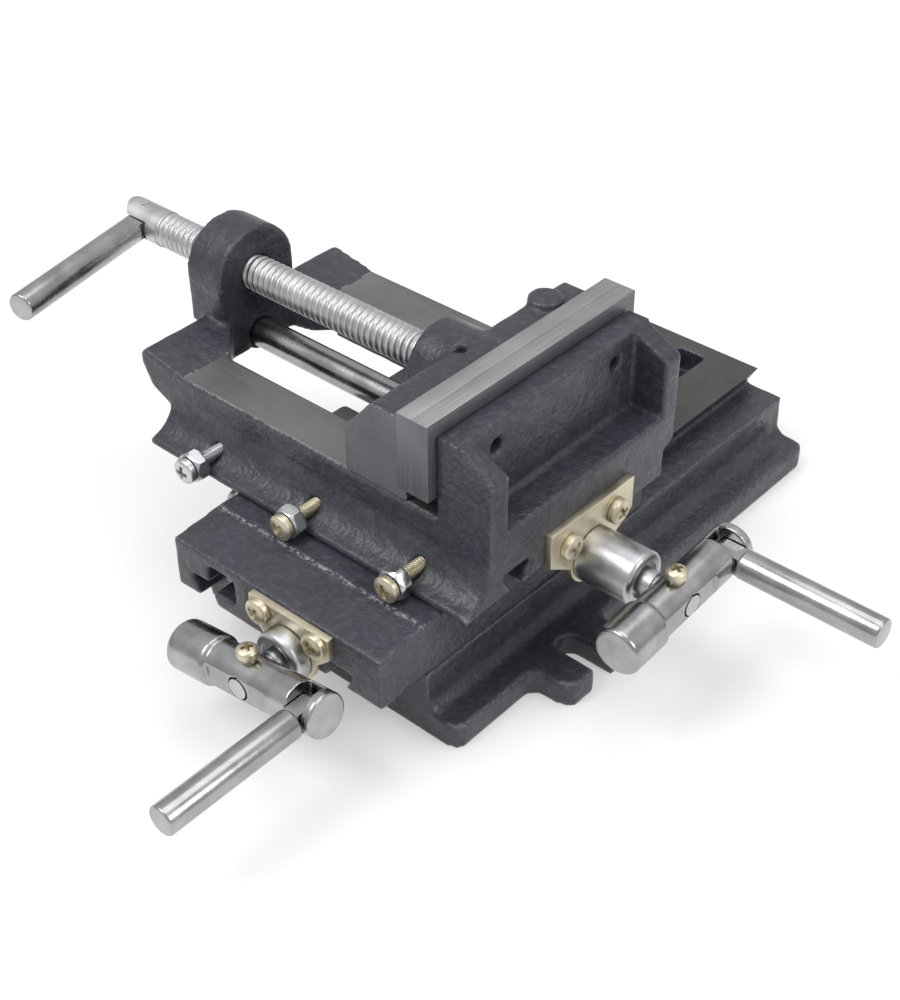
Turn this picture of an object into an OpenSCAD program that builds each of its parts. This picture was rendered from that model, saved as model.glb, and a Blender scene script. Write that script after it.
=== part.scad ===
// Cross slide vise: a drill press vise on two dovetail slides, with a crank for each slide
// Millimetres, +Z up. The origin is the middle of the base's flat underside.
// X runs along the vise screw towards the fixed jaw, Y along the base.
// The vise is drawn with its jaws closed and both slides where a buyer first sees them.

/* [Base] */
// Length of the base along Y
base_l = 198; // [170:1:240]
// Height of the base up to the shelf that carries the saddle
base_h = 25; // [22:0.5:32]
// Width of the block under the dovetail
block_w = 90; // [84:1:104]
// Width of the foot flange
flange_w = 115; // [108:1:130]
// Thickness of the foot flange
flange_t = 9.5; // [7:0.5:12]
// Width of the base dovetail at its top
base_dt_w = 68; // [60:1:72]
// Height of the base dovetail
base_dt_h = 8; // [7:0.5:9]
// Distance of the bolt lugs from the middle of the base
lug_y = 45; // [34:1:52]
// Length of a bolt lug along Y
lug_l = 34; // [28:1:40]
// How far a bolt lug stands out from the flange
lug_out = 15; // [12:1:20]
// Width of the open bolt slots
bolt_slot_w = 9.5; // [8:0.5:12]

/* [Saddle] */
// Length of the saddle along Y
saddle_l = 131; // [124:1:140]
// Width of the saddle along X
saddle_w = 90; // [84:1:100]
// Height of the saddle between the two slides
saddle_h = 21; // [20:0.5:26]
// Where the middle of the saddle stands along the base
saddle_rest = -54; // [-58:1:-50]
// Thickness of the closed end wall that carries the cross screw
saddle_wall = 10; // [8:0.5:12]
// Depth of the sloping ledge in front of the vise
ledge_l = 19; // [14:0.5:22]
// Fall of the ledge to its front edge
ledge_drop = 1.7; // [1:0.1:3]
// How far the vise stands behind the middle of the saddle
vise_shift = 19.5; // [17:0.5:21]
// Width of the saddle dovetail at its top
saddle_dt_w = 72; // [66:1:73]
// Height of the saddle dovetail
saddle_dt_h = 8; // [7.5:0.5:9]

/* [Vise body] */
// Length of the vise body without its end blocks
body_l = 142; // [134:1:160]
// Width across the two rails
body_w = 93; // [90:1:98]
// Height of the rails above the saddle
body_h = 23.5; // [22.5:0.5:27]
// Width of each rail
rail_w = 19.5; // [17:0.5:22]
// How far the curved skirt reaches out on the gib side
skirt_out = 11.5; // [9:0.5:13]
// Thickness of the closed end wall that carries the long screw
body_wall = 8; // [7:0.5:10]
// Gap between that wall and the saddle at rest
wall_gap = 2; // [1:0.5:4]
// How far the end blocks stand out behind the body
tail_out = 14; // [10:0.5:18]
// Height of the end blocks above the rails
tail_rise = 4; // [2:0.5:5]
// Thickness of the fixed jaw along X
fixed_jaw_t = 22; // [20:0.5:26]
// Thickness of the wall behind the fixed jaw plate
jaw_back_t = 9; // [7.5:0.5:11]
// Width of the two ribs of the fixed jaw
jaw_rib_w = 8; // [6:0.5:10]
// Length of the screw boss
boss_l = 17; // [14:0.5:20]
// Radius of the screw boss
boss_r = 17.5; // [15:0.5:19]

/* [Jaws] */
// Width of the jaws
jaw_w = 100; // [96:1:108]
// Height of the jaw plates
plate_h = 27.5; // [25:0.5:30]
// Thickness of a jaw plate
plate_t = 6; // [5.5:0.25:7]
// Gap below the jaw plates, down to the rails
plate_lift = 7.5; // [6:0.5:9]
// How far the plates stand above the castings behind them
plate_proud = 5; // [4:0.5:7]
// Thickness of the movable jaw block
slider_t = 25; // [22:0.5:28]
// How far the jaws open
jaw_travel = 72; // [50:1:74]

/* [Vise screw] */
// Diameter of the vise screw
screw_d = 13; // [11:0.5:14]
// Height of the vise screw above the rails
screw_rise = 16; // [15:0.5:18]
// Diameter of the guide rod
rod_d = 11; // [9:0.5:12]
// Depth of the guide rod's axis below the rail tops
rod_drop = 8; // [7:0.5:9]
// Diameter of the screw's forked head
fork_d = 13.5; // [13.5:0.5:16]
// Diameter of the folding handles
handle_d = 10; // [9:0.5:11]
// Reach of the vise handle from its pin
vise_handle_l = 70; // [60:1:90]
// How far the vise handle is swung past square at rest, in degrees
vise_handle_turn = 12; // [0:1:15]

/* [Lead screws] */
// Diameter of the lead screws
lead_d = 9; // [8:0.5:9]
// Depth of the long screw's axis below the saddle dovetail's top
long_drop = 13.5; // [12:0.5:13.5]
// Depth of the cross screw's axis below the base dovetail's top
cross_drop = 3.5; // [3:0.5:4]
// Sideways place of the cross screw from the middle of the base
cross_x = 9; // [6:0.5:13]
// Threaded length of the long screw
long_l = 84; // [80:1:90]
// Threaded length of the cross screw
cross_l = 128; // [110:1:150]
// Length of the lead screw nuts
nut_l = 18; // [14:0.5:19]
// Diameter of the thrust collars
collar_d = 19; // [17:0.5:21]
// Length of the collar on the long screw
long_collar_l = 21; // [14:0.5:24]
// Length of the collar on the cross screw
cross_collar_l = 6; // [5:0.5:12]
// Clear length of the long screw between its collar and its crank
long_neck_l = 4; // [3:0.5:8]
// Clear length of the cross screw between its collar and its crank
cross_neck_l = 2; // [2:0.5:8]

/* [Cranks] */
// Diameter of a crank arm
arm_d = 15; // [14:0.5:16]
// Diameter of the crank's plain end
arm_end_d = 17; // [16:0.5:19]
// Reach of the plain end from the screw
arm_back = 31; // [28:1:44]
// Reach of the forked end from the screw
arm_front = 32; // [31:1:38]
// Distance of the folding handle from the screw
arm_throw = 25; // [22:0.5:26]
// Reach of a crank handle from its pin
crank_handle_l = 58; // [48:1:70]
// Turn of the long screw's crank at rest, in degrees
long_turn = 4; // [-30:1:30]
// Turn of the cross screw's crank at rest, in degrees
cross_turn = 8; // [-30:1:30]

/* [Fasteners] */
// Thickness of the bracket plates
bracket_t = 2.5; // [2:0.25:3]
// Diameter of the gib screws
gib_screw_d = 5; // [4:0.5:5]
// Width of the gib nuts across their flats
gib_nut_af = 10; // [9:0.5:11]
// Height of the gib nuts
gib_nut_h = 5; // [4:0.5:6]
// Horizontal thickness of the gibs
gib_t = 4.5; // [4:0.25:5]
// Diameter of the handle pins
pin_d = 4; // [3.5:0.25:4.5]
// Diameter of the bracket and jaw screws
fix_d = 5; // [4:0.5:5]

/* [Fits] */
// Radial clearance of turning and sliding shafts
run_fit = 0.08; // [0.03:0.01:0.1]
// Clearance between sliding dovetail flanks
slide_fit = 0.15; // [0.1:0.05:0.3]
// Clearance of parts that pass through a hole or slot without running in it
pass_fit = 0.5; // [0.4:0.1:1]

/* [Hidden] */
$fn = 64;
eps = 0.5;

// Finishes
enamel = [0.2, 0.21, 0.25];
ground = [0.55, 0.55, 0.54];
zinc = [0.72, 0.72, 0.73];
yellow_zinc = [0.78, 0.7, 0.48];
bronze = [0.62, 0.48, 0.27];

// Heights of the stack
flank = tan(60);
z_base_dt = base_h + base_dt_h;
z_saddle = base_h + saddle_h;
z_saddle_dt = z_saddle + saddle_dt_h;
z_rail = z_saddle + body_h;
z_vise_screw = z_rail + screw_rise;
z_rod = z_rail - rod_drop;
z_long = z_saddle_dt - long_drop;
z_cross = z_base_dt - cross_drop;
z_plate = z_rail + plate_lift;
z_plate_top = z_plate + plate_h;
z_jaw_top = z_plate_top - plate_proud;
roof_gap = 0.3;
flank_gap = slide_fit + roof_gap / flank;
tongue_gap = 0.4;
foot_fillet = 5;
flange_r = 4;
lug_r = 5;
slot_in = 2;

// Notches and window at the ends of the grooves
notch_w = 9;
notch_lean = 3;
step_w = 12;
step_h = 10;
window_out = 13;
window_h = 7;
body_notch_w = 14;

// Forms of the castings
skirt_foot = 2.5;
skirt_open = 1.2;
wall_step_h = 10.5;
wall_step_in = 5;
tail_in = 6;
tail_deep = 15;
tail_edge = 2;
tail_knee = 10;
tail_ease = 2;
tail_foot = 0.5;
throat_in = 3;
rod_boss_d = 13.6;
pocket_floor = 1;
rib_fall = 8;
rib_back = 3;
slider_back_h = 17;
slider_slope = 9;
slider_ease = 2.5;
slider_boss_d = 30;
slider_boss_out = 4;
lock_boss_d = 12;
lock_boss_in = 10;
lock_boss_side = 32;
lock_boss_up = 2.5;
boss_ease = 0.4;

// Places along X and Y
saddle_y0 = saddle_rest - saddle_l / 2;
saddle_y1 = saddle_rest + saddle_l / 2;
ridge_y = saddle_y0 + ledge_l;
vise_y = saddle_rest + vise_shift;
wall_x = saddle_w / 2 + wall_gap;
end_x = wall_x + body_wall;
tail_x = end_x - body_l;
jaw_x = end_x - fixed_jaw_t;
jaw_gap = 0.1;
slider_x1 = jaw_x - 2 * plate_t - jaw_gap;
slider_x0 = slider_x1 - slider_t;
boss_back = 4;
boss_x1 = tail_x - boss_back;
boss_x0 = boss_x1 - boss_l;
slot_half = body_w / 2 - rail_w;
slot_end_gap = 1;
slot_x0 = slider_x0 - jaw_travel - slot_end_gap;
slot_x1 = jaw_x - plate_t;
rod_seat = 6;

// Lead screw channels and nuts
lead_wall = 1.5;
channel_w = lead_d + 2 * lead_wall;
cross_floor = z_cross - lead_d / 2 - lead_wall;
cross_roof = z_cross + lead_d / 2 + lead_wall + pass_fit;
long_clear = 0.6;
long_floor = z_long - lead_d / 2 - long_clear;
nut_web = 8;
nut_foot = 6;
nut_foot_d = 9;
nut_cover = 4;
slot_stop = 7;
nut_inset = 2;
y_nut_y = -base_l / 2 + nut_inset;
x_nut_x = saddle_w / 2 - nut_l - 2 * nut_inset;

// Bracket plates, collars and cranks, measured out from each end wall
shoulder_d = 14;
shoulder_l = 3;
collar_gap = 0.1;
bracket_rise = 10;
bracket_half = 12;
long_plate_top = 8.5;
cross_plate_top = 4;
bracket_screw_l = 7;
long_collar_x = end_x + bracket_t + collar_gap;
long_arm_x = long_collar_x + long_collar_l + long_neck_l + arm_d / 2;
cross_collar_y = saddle_y0 - bracket_t - collar_gap;
cross_arm_y = cross_collar_y - cross_collar_l - cross_neck_l - arm_d / 2;
arm_face = arm_d / 2 - 1;
fork_slot = 7;
tongue_t = fork_slot - 2 * slide_fit;
stem_d = lead_d - 2;
tip_l = 2;
collar_cup = 2;
collar_rim = 2.5;
lobe_r = 10.5;
ear_low = 4;
lobe_in = 2;
long_plate_half = 21;
cross_plate_half = 17;
flat_back = 14;
flat_front = 12;
tongue_w = 7;
vise_tongue_w = 8;
handle_gap = 0.5;
set_screw_lift = 1;
bar_chamfer = 1.2;
pin_proud = 0.5;
fork_deep = 2.5;
handle_clear = 2.5;

// Gibs and their screws
gib_y_span = 40;
gib_x_span = 45;
gib_x_back = 49;
gib_y_ahead = 14;
gib_x_mid = jaw_x - gib_x_back;
gib_y_mid = saddle_rest + gib_y_ahead;
z_gib_x = z_saddle + saddle_dt_h / 2 + 1;
z_gib_y = base_h + base_dt_h / 2;
gib_stub = 12.9;
gib_gap = 0.6;
gib_end = 1;
gib_nut_out = 7.7;
gib_tip_back = gib_screw_d / 2 / flank + 0.05;
gib_face_y = vise_y - body_w / 2 - 4;
function gib_y_place(k) = gib_y_mid + k * gib_y_span;
function gib_x_place(k) = gib_x_mid + k * gib_x_span;

// Screws of the jaws
jaw_screw_span = 29;
z_jaw_screw = z_plate + plate_h / 2;
head_d = 9;
head_h = 3.2;
screw_sunk = 1;
screw_short = 3;
jaw_screw_l = 14;

// Screw retaining pin, tangent to the groove near the end of the vise screw
groove_d = screw_d - 4;
groove_w = 5;
pin_in = 12;
tip_in = 20;
retain_down = 10;
retain_up = 12;
pin_x = slider_x0 + pin_in;
screw_tip = slider_x0 + tip_in;
retain_y = vise_y - groove_d / 2 - pin_d / 2 - slide_fit;
fork_out = 62;
fork_x = tail_x - fork_out;
fork_l = 20;

// Plain cylinders along each axis, from one place to another
module rod_x(d, x0, x1, y, z) {
    translate([x0, y, z]) rotate([0, 90, 0]) cylinder(d = d, h = x1 - x0);
}
module rod_y(d, y0, y1, x, z) {
    translate([x, y1, z]) rotate([90, 0, 0]) cylinder(d = d, h = y1 - y0);
}
module rod_z(d, z0, z1, x, y) {
    translate([x, y, z0]) cylinder(d = d, h = z1 - z0);
}

// A box between two corners
module box(a, b) {
    translate(a) cube(b - a);
}

// A profile drawn in Y and Z, run along X
module run_x(x0, x1) {
    translate([x0, 0, 0]) rotate([90, 0, 90]) linear_extrude(x1 - x0) children();
}
// A profile drawn in X and Z, run along Y
module run_y(y0, y1) {
    translate([0, y1, 0]) rotate([90, 0, 0]) linear_extrude(y1 - y0) children();
}

// A dovetail that widens upwards from z0, between two top corners, on a short straight foot
module dovetail(left, right, z0, h) {
    lean = h / flank;
    polygon([[left + lean, z0 - eps], [right - lean, z0 - eps], [right - lean, z0], [right, z0 + h],
        [left, z0 + h], [left + lean, z0]]);
}

// The hollow corner that a fillet fills, with its square corner at the origin
module fillet(r) {
    difference() {
        square(r);
        translate([r, r]) circle(r);
    }
}

// A rectangle with round corners about the origin
module round_rect(w, h, r) {
    square([w - 2 * r, h], center = true);
    square([w, h - 2 * r], center = true);
    for (x = [-1, 1], y = [-1, 1]) translate([x * (w / 2 - r), y * (h / 2 - r)]) circle(r);
}

// A pan head screw that points along +Z with its seat at the origin
module pan_screw(d, l) {
    cylinder(d = d, h = l);
    translate([0, 0, -head_h * 0.6]) cylinder(d = head_d, h = head_h * 0.6);
    translate([0, 0, -head_h]) cylinder(d1 = head_d * 0.7, d2 = head_d, h = head_h * 0.4);
}

// A round bar along +Z with chamfered ends
module bar(d, l) {
    c = bar_chamfer;
    cylinder(d1 = d - 2 * c, d2 = d, h = c);
    translate([0, 0, c]) cylinder(d = d, h = l - 2 * c);
    translate([0, 0, l - c]) cylinder(d1 = d, d2 = d - 2 * c, h = c);
}

// Bolt lug on the side towards +X, and the open slot that is cut into it
module lug_plate() {
    translate([0, -lug_y, 0]) linear_extrude(flange_t) {
        translate([flange_w / 2 + lug_out / 2 - lug_r, 0]) round_rect(lug_out + 2 * lug_r, lug_l, lug_r);
        for (side = [0, 1]) mirror([0, side]) translate([flange_w / 2, lug_l / 2]) fillet(lug_r);
    }
}
module lug_slot() {
    translate([flange_w / 2 + slot_in, -lug_y, -eps]) linear_extrude(flange_t + 2 * eps) {
        circle(d = bolt_slot_w);
        translate([0, -bolt_slot_w / 2]) square([lug_out, bolt_slot_w]);
    }
}

module base() {
    nut_mid = y_nut_y + nut_l / 2;
    color(enamel) difference() {
        union() {
            run_y(-base_l / 2, base_l / 2) {
                translate([-block_w / 2, 0]) square([block_w, base_h]);
                for (side = [0, 1]) mirror([side, 0]) translate([block_w / 2, flange_t]) fillet(foot_fillet);
                dovetail(-base_dt_w / 2, base_dt_w / 2, base_h, base_dt_h);
            }
            linear_extrude(flange_t) round_rect(flange_w, base_l, flange_r);
            for (turn = [0, 180]) rotate([0, 0, turn]) lug_plate();
        }
        for (turn = [0, 180]) rotate([0, 0, turn]) lug_slot();
        box([cross_x - channel_w / 2, -base_l / 2 - eps, cross_floor],
            [cross_x + channel_w / 2, base_l / 2 - slot_stop, z_base_dt + eps]);
        rod_z(nut_foot_d, cross_floor - nut_foot, cross_floor + eps, cross_x, nut_mid);
        rod_z(fix_d + 2 * pass_fit, -eps, cross_floor, cross_x, nut_mid);
        rod_z(head_d + 2 * pass_fit, -eps, cross_floor - nut_foot - nut_web, cross_x, nut_mid);
    }
}

// The nut stands in the base's slot on a round foot, and a screw from below holds it
module y_nut() {
    nut_mid = y_nut_y + nut_l / 2;
    color(bronze) difference() {
        union() {
            box([cross_x - channel_w / 2, y_nut_y, cross_floor],
                [cross_x + channel_w / 2, y_nut_y + nut_l, cross_roof - pass_fit]);
            rod_z(nut_foot_d, cross_floor - nut_foot, cross_floor + eps, cross_x, nut_mid);
        }
        rod_y(lead_d + 2 * run_fit, y_nut_y - eps, y_nut_y + nut_l + eps, cross_x, z_cross);
        rod_z(fix_d, cross_floor - nut_foot - eps, cross_floor, cross_x, nut_mid);
    }
}

module y_nut_screw() {
    color(zinc) translate([cross_x, y_nut_y + nut_l / 2, cross_floor - nut_foot - nut_web])
        pan_screw(fix_d, nut_web + nut_foot - pass_fit);
}

// The saddle: an open dovetail groove below, a dovetail across its top
module saddle_block() {
    run_x(-saddle_w / 2, saddle_w / 2)
        polygon([[saddle_y0, base_h], [saddle_y0, z_saddle - ledge_drop], [ridge_y, z_saddle],
            [saddle_y1, z_saddle], [saddle_y1, base_h]]);
    run_x(-saddle_w / 2, saddle_w / 2)
        dovetail(vise_y - saddle_dt_w / 2, vise_y + saddle_dt_w / 2, z_saddle, saddle_dt_h);
}
module saddle_groove() {
    left = -base_dt_w / 2 - gib_t - flank_gap;
    right = base_dt_w / 2 + flank_gap;
    run_y(saddle_y0 + saddle_wall, saddle_y1 + eps) {
        dovetail(left, right, base_h, base_dt_h + roof_gap);
        translate([cross_x - channel_w / 2 - 1, base_h]) square([channel_w + 2, cross_roof - base_h]);
    }
}
// The end of the gib groove shows as a notch in the end wall, with a step above it
module gib_notch() {
    left = -base_dt_w / 2 - gib_t - flank_gap;
    top = base_h + base_dt_h + roof_gap;
    run_y(saddle_y0 - eps, saddle_y0 + saddle_wall + eps) {
        polygon([[left + (top - base_h) / flank, base_h - eps], [left, top], [left + notch_w, top],
            [left + notch_w + notch_lean, base_h - eps]]);
        translate([left + notch_w, top - notch_lean]) square([step_w, step_h]);
    }
}
// The right side of the end wall is cut away down to the base
module wall_window() {
    right = base_dt_w / 2 + slide_fit;
    run_y(saddle_y0 - eps, saddle_y0 + saddle_wall + eps)
        polygon([[cross_x + window_out, base_h - eps], [right - base_dt_h / flank, base_h - eps],
            [right - (base_dt_h - window_h) / flank, base_h + window_h],
            [cross_x + window_out, base_h + window_h]]);
}
module saddle() {
    color(enamel) difference() {
        saddle_block();
        saddle_groove();
        gib_notch();
        wall_window();
        box([-saddle_w / 2 - eps, vise_y - channel_w / 2, long_floor],
            [saddle_w / 2 + eps, vise_y + channel_w / 2, z_saddle_dt + eps]);
        rod_y(lead_d + 2 * pass_fit, saddle_y0 - eps, saddle_y0 + saddle_wall + eps, cross_x, z_cross);
        rod_y(shoulder_d + 2 * pass_fit, saddle_y0 - eps, saddle_y0 + shoulder_l + pass_fit,
            cross_x, z_cross);
        for (s = [-1, 1]) rod_y(fix_d, saddle_y0 - eps, saddle_y0 + bracket_screw_l,
            cross_x + s * bracket_half, z_cross + bracket_rise);
        for (k = [-1, 0, 1])
            rod_x(gib_screw_d, -saddle_w / 2 - eps, -base_dt_w / 2, gib_y_place(k), z_gib_y);
    }
}

// A gib drawn in the groove's section: a slanted strip beside the dovetail, left of its top corner
module gib_strip(corner, z0, h) {
    lean = h / flank;
    top = (h - gib_gap) / flank;
    polygon([[corner - gib_t + lean, z0], [corner - gib_t + lean - top, z0 + h - gib_gap],
        [corner - slide_fit + lean - top, z0 + h - gib_gap], [corner - slide_fit + lean, z0]]);
}

module y_gib() {
    color(ground) run_y(saddle_y0 + saddle_wall + gib_end, saddle_y1 - gib_end)
        gib_strip(-base_dt_w / 2, base_h, base_dt_h);
}

// A gib screw along +Z with its tip at the origin, and its lock nut run back near the head
module gib_screw(l) {
    translate([0, 0, -l]) cylinder(d = gib_screw_d, h = l);
    translate([0, 0, -l - head_h]) cylinder(d = head_d, h = head_h);
}

module y_gib_screws() {
    tip = -base_dt_w / 2 - gib_t + (z_base_dt - z_gib_y) / flank - gib_tip_back;
    color(zinc) for (k = [-1, 0, 1]) translate([tip, gib_y_place(k), z_gib_y]) rotate([0, 90, 0])
        gib_screw(tip + saddle_w / 2 + gib_stub);
}

module gib_nut_shape() {
    difference() {
        cylinder(d = gib_nut_af / cos(30), h = gib_nut_h, $fn = 6);
        translate([0, 0, -eps]) cylinder(d = gib_screw_d, h = gib_nut_h + 2 * eps);
    }
}

module y_gib_nuts() {
    color(zinc) for (k = [-1, 0, 1])
        translate([-saddle_w / 2 - gib_nut_out, gib_y_place(k), z_gib_y]) rotate([0, -90, 0]) gib_nut_shape();
}

module x_nut() {
    color(bronze) difference() {
        box([x_nut_x, vise_y - channel_w / 2, long_floor],
            [x_nut_x + nut_l, vise_y + channel_w / 2, z_long + lead_d / 2 + nut_cover]);
        rod_x(lead_d + 2 * run_fit, x_nut_x - eps, x_nut_x + nut_l + eps, vise_y, z_long);
    }
}

// A bracket plate about the screw's axis, lying on Z = 0: two ears over a round lobe
module bracket(half, top_margin) {
    top = bracket_rise + top_margin;
    low = bracket_rise - ear_low;
    difference() {
        union() {
            linear_extrude(bracket_t) polygon([[-half, top], [half, top], [half, low],
                [lobe_r - lobe_in, -lobe_in], [lobe_in - lobe_r, -lobe_in], [-half, low]]);
            cylinder(r = lobe_r, h = bracket_t);
        }
        translate([0, 0, -eps]) cylinder(d = lead_d + 2 * run_fit, h = bracket_t + 2 * eps);
        for (s = [-1, 1]) translate([s * bracket_half, bracket_rise, -eps])
            cylinder(d = fix_d, h = bracket_t + 2 * eps);
    }
}

module y_bracket_plate() {
    color(yellow_zinc) at_cross(saddle_y0) bracket(cross_plate_half, cross_plate_top);
}

module y_bracket_screws() {
    color(yellow_zinc) for (s = [-1, 1])
        translate([cross_x + s * bracket_half, saddle_y0 - bracket_t, z_cross + bracket_rise])
            rotate([-90, 0, 0]) pan_screw(fix_d, bracket_screw_l);
}

// A lead screw that points along -Z into its nut, with the end wall's face at the origin
module lead_screw(thread_l, collar_l, neck_l) {
    bare = bracket_t + collar_gap + collar_l + neck_l;
    translate([0, 0, -thread_l]) cylinder(d1 = stem_d, d2 = lead_d, h = tip_l);
    translate([0, 0, tip_l - thread_l]) cylinder(d = lead_d, h = thread_l + bare - tip_l);
    translate([0, 0, -shoulder_l]) cylinder(d = shoulder_d, h = shoulder_l);
    translate([0, 0, bare]) cylinder(d = stem_d, h = arm_d / 2 + arm_face);
}

// A thrust collar with a hollow in its outer end, about the screw's axis
module collar(l) {
    difference() {
        cylinder(d = collar_d, h = l);
        translate([0, 0, -eps]) cylinder(d = lead_d, h = l + 2 * eps);
        translate([0, 0, l - collar_cup]) cylinder(d = collar_d - 2 * collar_rim, h = collar_cup + eps);
    }
}

// A crank arm along X with the screw through its middle and the handle's fork at its front end
module crank_arm() {
    difference() {
        union() {
            translate([-arm_back, 0, 0]) rotate([0, 90, 0]) bar(arm_end_d, arm_back - flat_back);
            translate([-flat_back - bar_chamfer, 0, 0]) rotate([0, 90, 0])
                bar(arm_d, flat_back + bar_chamfer + arm_front);
        }
        for (side = [0, 1]) mirror([0, 0, side]) translate([-flat_back, -arm_d, arm_face])
            cube([flat_back + flat_front, 2 * arm_d, arm_d]);
        translate([0, 0, -arm_d]) cylinder(d = stem_d, h = 2 * arm_d);
        translate([arm_throw - fork_slot / 2, -arm_d, -tongue_w / 2 - slide_fit])
            cube([fork_slot, 2 * arm_d, arm_d]);
        rod_x(pin_d, arm_throw - fork_slot, arm_front + eps, 0, 0);
        rotate([-90, 0, 0]) cylinder(d = fix_d, h = arm_d);
    }
}

// A set screw in the side of the arm, pressed on the screw's end
module crank_set_screw() {
    rotate([90, 0, 0]) translate([0, 0, -arm_d / 2 - set_screw_lift])
        pan_screw(fix_d, arm_d / 2 + set_screw_lift - stem_d / 2);
}

module crank_pin() {
    rod_x(pin_d, arm_throw - fork_slot, arm_front, 0, 0);
}

// A folding handle along +Z with its tongue about the pin
module crank_handle() {
    start = arm_d / 2 + handle_gap;
    difference() {
        union() {
            translate([0, 0, start]) bar(handle_d, crank_handle_l - start);
            translate([-tongue_t / 2, 0, 0]) rotate([0, 90, 0]) cylinder(d = tongue_w, h = tongue_t);
            translate([-tongue_t / 2, -tongue_w / 2, 0]) cube([tongue_t, tongue_w, start + bar_chamfer]);
        }
        translate([-handle_d, 0, 0]) rotate([0, 90, 0]) cylinder(d = pin_d + 2 * run_fit, h = 2 * handle_d);
    }
}

// The cross screw's parts: screw axis along -Y, crank arm along X
module at_cross(reach) {
    translate([cross_x, reach, z_cross]) rotate([90, 0, 0]) children();
}
module y_lead_screw() { color(zinc) at_cross(saddle_y0) lead_screw(cross_l, cross_collar_l, cross_neck_l); }
module y_collar() { color(zinc) at_cross(cross_collar_y) collar(cross_collar_l); }
module y_crank_arm() { color(zinc) at_cross(cross_arm_y) rotate(cross_turn) crank_arm(); }
module y_crank_set_screw() { color(yellow_zinc) at_cross(cross_arm_y) rotate(cross_turn) crank_set_screw(); }
module y_handle_pin() { color(zinc) at_cross(cross_arm_y) rotate(cross_turn) crank_pin(); }
module y_handle() {
    color(zinc) at_cross(cross_arm_y) rotate(cross_turn) translate([arm_throw, 0, 0]) crank_handle();
}

// The long screw's parts: screw axis along +X, crank arm along Y
module at_long(reach) {
    translate([reach, vise_y, z_long]) rotate([90, 0, 90]) children();
}
module x_lead_screw() { color(zinc) at_long(end_x) lead_screw(long_l, long_collar_l, long_neck_l); }
module x_collar() { color(zinc) at_long(long_collar_x) collar(long_collar_l); }
module x_crank_arm() { color(zinc) at_long(long_arm_x) rotate(long_turn) crank_arm(); }
module x_crank_set_screw() { color(yellow_zinc) at_long(long_arm_x) rotate(long_turn) crank_set_screw(); }
module x_handle_pin() { color(zinc) at_long(long_arm_x) rotate(long_turn) crank_pin(); }
module x_handle() {
    color(zinc) at_long(long_arm_x) rotate(long_turn) translate([arm_throw, 0, 0]) crank_handle();
}

// Section of the vise body: a hollow-curved skirt on the gib side, a stepped wall on the other
module body_section() {
    half = body_w / 2;
    polygon([[-half, z_saddle], [-half, z_rail], [half, z_rail],
        [half, z_saddle + wall_step_h + wall_step_in / 3], [half - wall_step_in, z_saddle + wall_step_h],
        [half - wall_step_in, z_saddle]]);
}
module skirt_section() {
    r = skirt_open * skirt_out;
    c = (skirt_out + sqrt(2 * r * r - skirt_out * skirt_out)) / 2;
    difference() {
        translate([-body_w / 2 - skirt_out, z_saddle]) square([skirt_out + eps, skirt_foot + skirt_out]);
        translate([-body_w / 2 - c, z_saddle + skirt_foot + c]) circle(r);
    }
}
module body_groove() {
    left = vise_y - saddle_dt_w / 2 - gib_t - flank_gap;
    right = vise_y + saddle_dt_w / 2 + flank_gap;
    run_x(tail_x - tail_out - eps, wall_x) dovetail(left, right, z_saddle, saddle_dt_h + roof_gap);
}
// The end of the gib groove shows as a three-cornered notch in the end wall
module body_notch() {
    left = vise_y - saddle_dt_w / 2 - gib_t - flank_gap;
    top = z_saddle + saddle_dt_h + roof_gap;
    run_x(wall_x - eps, end_x + eps)
        polygon([[left, top], [left + body_notch_w, top], [left + notch_w, z_saddle - eps],
            [left + (top - z_saddle) / flank, z_saddle - eps]]);
}
// Side view of the end blocks behind the rails: the top falls to the rails, the underside rises
module tail_block() {
    x0 = tail_x - tail_out;
    x1 = tail_x + tail_in;
    top = z_rail + tail_rise;
    run_y(vise_y - body_w / 2, vise_y + body_w / 2)
        polygon([[x1, z_rail - tail_deep], [tail_x, z_rail - tail_deep],
            [x0 + 2 * tail_ease, z_rail - tail_knee], [x0, z_rail - tail_edge], [x0, top - tail_ease],
            [x0 + tail_ease, top], [x1, z_rail + tail_foot]]);
}
module screw_boss() {
    rod_x(2 * boss_r, boss_x0, boss_x1, vise_y, z_vise_screw);
    half = boss_r - boss_ease;
    box([boss_x0, vise_y - half, z_rail - tail_edge], [boss_x1, vise_y + half, z_vise_screw]);
    rod_x(rod_boss_d, boss_x1 - rod_seat - tail_ease, boss_x1, vise_y, z_rod);
}
// The gap between the rails narrows to the boss, whose front face runs down into it
module throat() {
    half = boss_r - throat_in;
    translate([0, vise_y, z_saddle]) linear_extrude(z_rail + tail_rise + eps - z_saddle)
        polygon([[slot_x0 + eps, -slot_half], [slot_x0, -slot_half], [boss_x1, -half], [boss_x1, half],
            [slot_x0, slot_half], [slot_x0 + eps, slot_half]]);
}
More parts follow.
